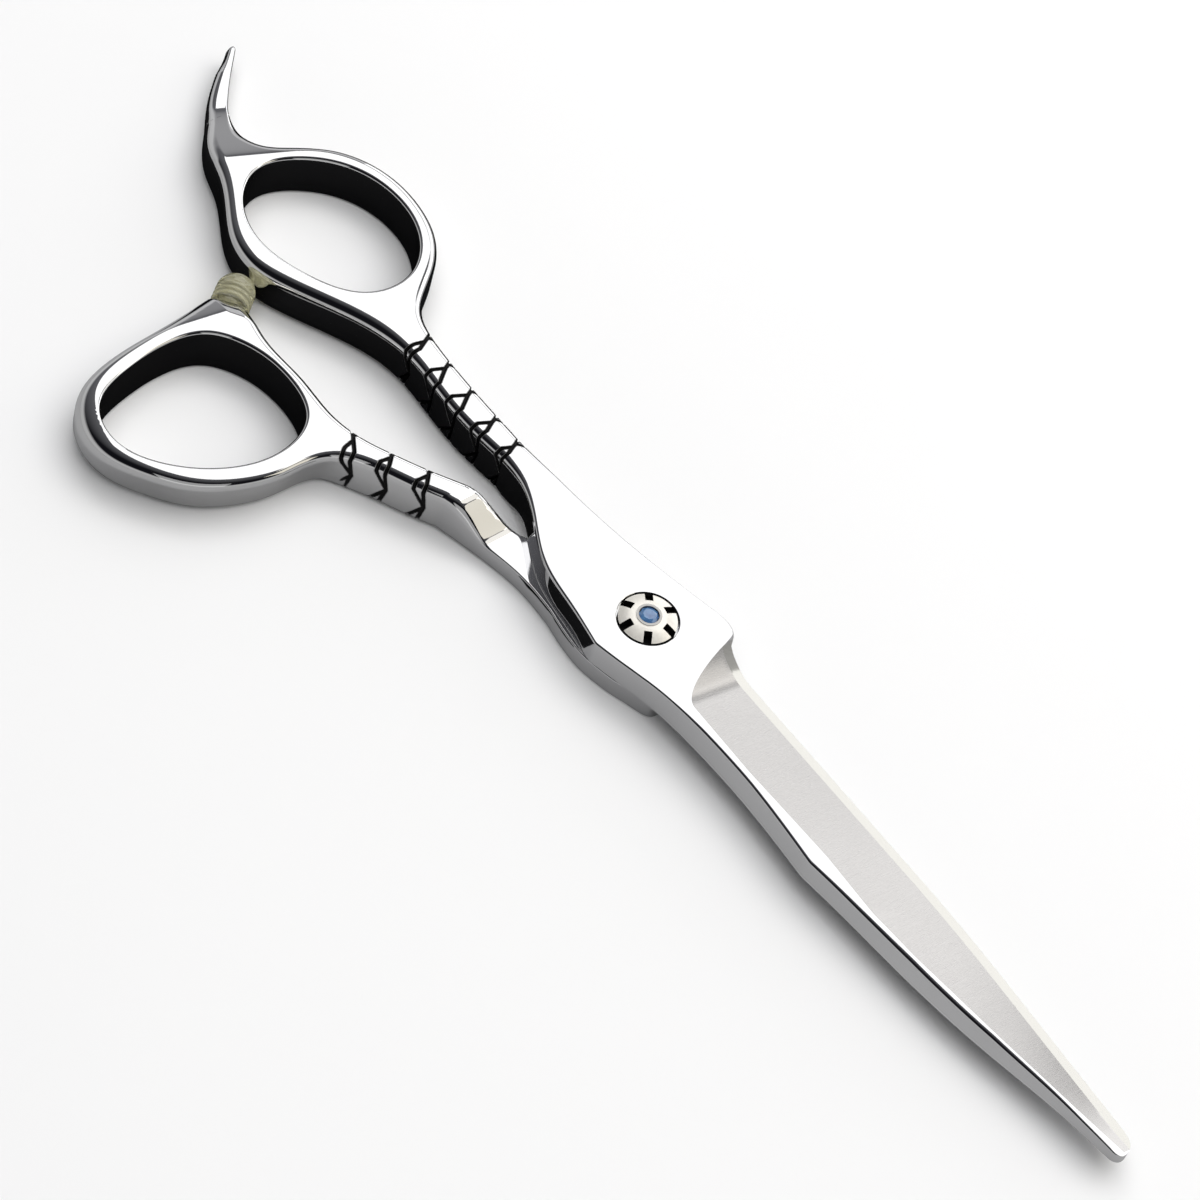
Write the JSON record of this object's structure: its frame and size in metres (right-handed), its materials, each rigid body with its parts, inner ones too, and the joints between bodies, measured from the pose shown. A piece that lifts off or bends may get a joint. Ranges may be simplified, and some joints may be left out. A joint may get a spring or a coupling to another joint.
{
  "type": "thinning shears",
  "caption": "Hairdresser's thinning shears: a plain blade over a comb blade on a tension-screw pivot, oval finger rings, little-finger rest and rubber silencer.",
  "frame": {"origin": "pivot axis where it meets the flat back of the comb half's bolster", "axes": "+X along the closed blades to their tips, +Y towards the finger ring and the plain blade's cutting edge, +Z along the pivot from the comb half to the plain half and its screw"},
  "size_m": [0.1763, 0.055, 0.0072],
  "materials": {
    "polished_steel": "mirror polish, with a satin ground flat on each blade",
    "pivot_steel": "fine turned satin",
    "bearing_bronze": "machined",
    "nylon": "moulded",
    "silencer": "translucent, glossy, slightly yellowed",
    "stone": "cut and polished"
  },
  "bodies": {
    "comb_half": {"comb_blade": "polished_steel", "thumb_handle": "polished_steel", "bumper": "silencer", "pivot_nut": "pivot_steel"},
    "plain_half": {"plain_blade": "polished_steel", "finger_handle": "polished_steel", "finger_rest": "polished_steel", "pivot_bush": "bearing_bronze", "glide_washer": "nylon", "spring_washer": "pivot_steel"},
    "screw": {"tension_screw": "pivot_steel", "crystal_bezel": "pivot_steel", "crystal": "stone", "head_washer": "nylon"}
  },
  "joints": [
    {"name": "blade_hinge", "type": "hinge", "parent": "comb_half", "child": "plain_half", "pos_m": [0, 0, 0], "axis": [0, 0, -1], "range_deg": [0, 65]},
    {"name": "tension_turn", "type": "hinge", "parent": "comb_half", "child": "screw", "pos_m": [0, 0, 0], "axis": [0, 0, 1], "range_deg": [-60, 60]}
  ]
}
